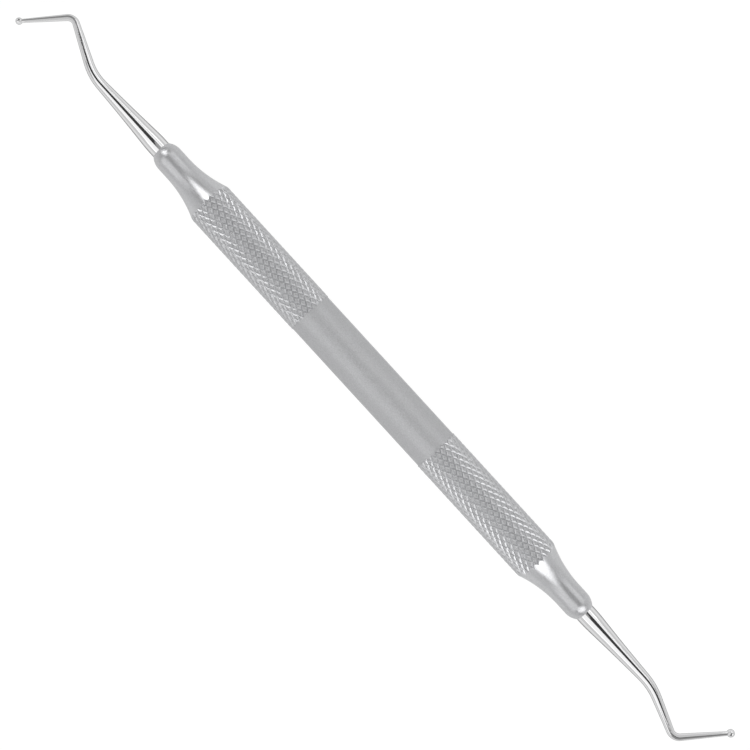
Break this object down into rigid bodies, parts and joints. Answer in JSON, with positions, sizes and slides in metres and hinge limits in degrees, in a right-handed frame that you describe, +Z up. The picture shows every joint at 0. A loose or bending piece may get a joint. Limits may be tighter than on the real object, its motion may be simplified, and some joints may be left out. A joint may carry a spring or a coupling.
{
  "type": "dental burnisher",
  "caption": "Double-ended dental burnisher with a knurled, flared steel handle and bent, tapered polished ends that stop in small balls.",
  "frame": {"origin": "middle of the handle's plain waist, on its axis", "axes": "+X along the handle towards the large ball, +Z up as it lies on a table, both ends bent in the XY plane"},
  "size_m": [0.1716, 0.0092, 0.0082],
  "materials": {
    "satin_steel": "satin turned stainless steel, with fine marks round the axis",
    "polished_steel": "mirror-polished stainless steel"
  },
  "bodies": {
    "root": {"handle": "satin_steel", "small_ball_end": "polished_steel", "large_ball_end": "polished_steel"}
  },
  "joints": []
}
